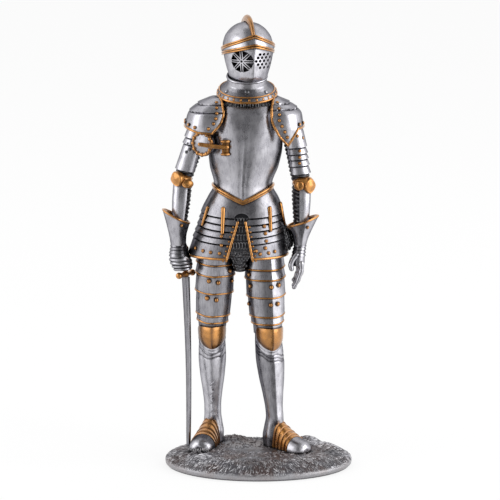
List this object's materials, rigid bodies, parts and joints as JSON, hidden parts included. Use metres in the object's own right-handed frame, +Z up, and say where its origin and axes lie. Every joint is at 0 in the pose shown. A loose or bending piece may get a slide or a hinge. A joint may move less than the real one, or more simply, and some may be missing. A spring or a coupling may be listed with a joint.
{
  "type": "knight figure",
  "caption": "Cast pewter miniature of a knight in full plate armour with gold painted trim, standing on an oval grassy base, with a sword held point down.",
  "frame": {"origin": "on the underside of the base, at the centre of the oval", "axes": "+Z up, +X to the figure's left, +Y to the figure's back"},
  "size_m": [0.0477, 0.0384, 0.1129],
  "materials": {
    "pewter": "satin cast pewter with a dark wash in the recesses",
    "mail": "dark blackened pewter mail",
    "ground": "dark antiqued pewter with a bright worn rim",
    "blade": "satin pewter",
    "gold_paint": "satin gold paint with brown recesses"
  },
  "bodies": {
    "root": {"base": "ground", "right_greave": "pewter", "left_greave": "pewter", "right_sabaton": "gold_paint", "left_sabaton": "gold_paint", "right_toe_cap": "pewter", "left_toe_cap": "pewter", "right_cuisse": "pewter", "left_cuisse": "pewter", "right_poleyn": "gold_paint", "left_poleyn": "gold_paint", "mail_skirt": "mail", "fauld": "pewter", "waist_belt": "gold_paint", "breastplate": "pewter", "backplate": "pewter", "gorget": "pewter", "helmet_bowl": "pewter", "visor": "pewter", "helmet_comb": "gold_paint", "right_pauldron": "pewter", "left_pauldron": "pewter", "right_rerebrace": "pewter", "left_rerebrace": "pewter", "right_couter": "gold_paint", "left_couter": "gold_paint", "right_vambrace": "pewter", "left_vambrace": "pewter", "right_gauntlet_cuff": "pewter", "left_gauntlet_cuff": "pewter", "right_gauntlet_hand": "pewter", "left_gauntlet_hand": "pewter", "right_besagew": "pewter", "lance_rest": "gold_paint", "sword_blade": "blade", "sword_guard": "gold_paint", "sword_hilt": "gold_paint"}
  },
  "joints": []
}
